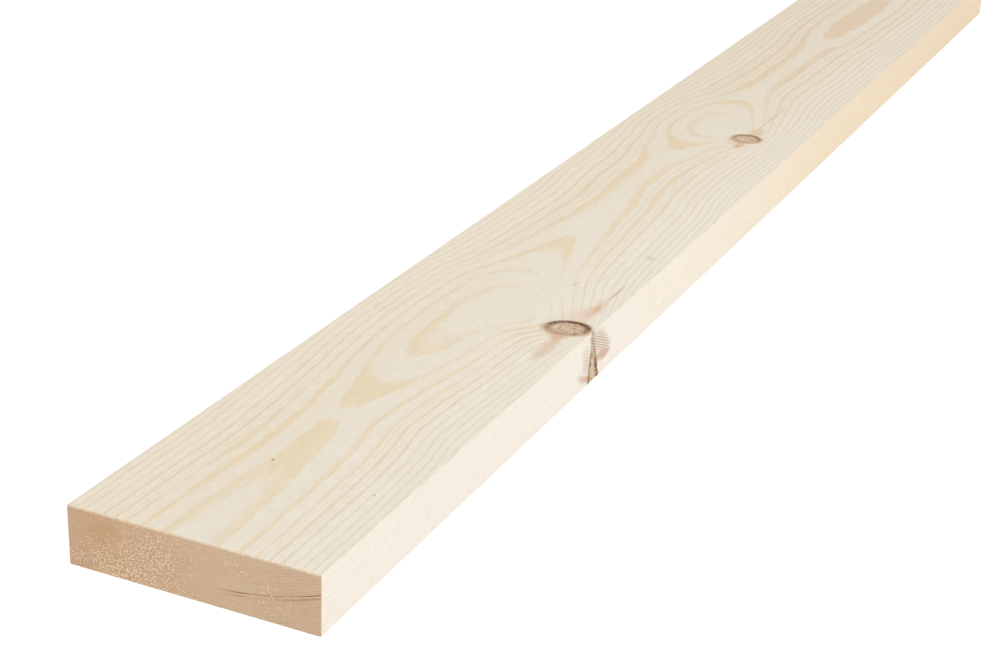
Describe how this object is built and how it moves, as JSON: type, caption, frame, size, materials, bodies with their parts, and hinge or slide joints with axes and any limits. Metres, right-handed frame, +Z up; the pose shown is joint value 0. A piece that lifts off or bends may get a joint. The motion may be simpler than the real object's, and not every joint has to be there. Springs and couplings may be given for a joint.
{
  "type": "timber lumber plank",
  "caption": "Planed softwood board with square-cut ends and lightly eased long edges, sawn from one piece of timber and lying on its wide face.",
  "frame": {"origin": "middle of the underside, the wide face that the board lies on", "axes": "+X along the grain, +Y across the wide face, +Z up through the thickness"},
  "size_m": [1.15, 0.12, 0.028],
  "materials": {
    "planed_softwood": "planed and unfinished, matt"
  },
  "bodies": {
    "root": {"plank": "planed_softwood"}
  },
  "joints": []
}
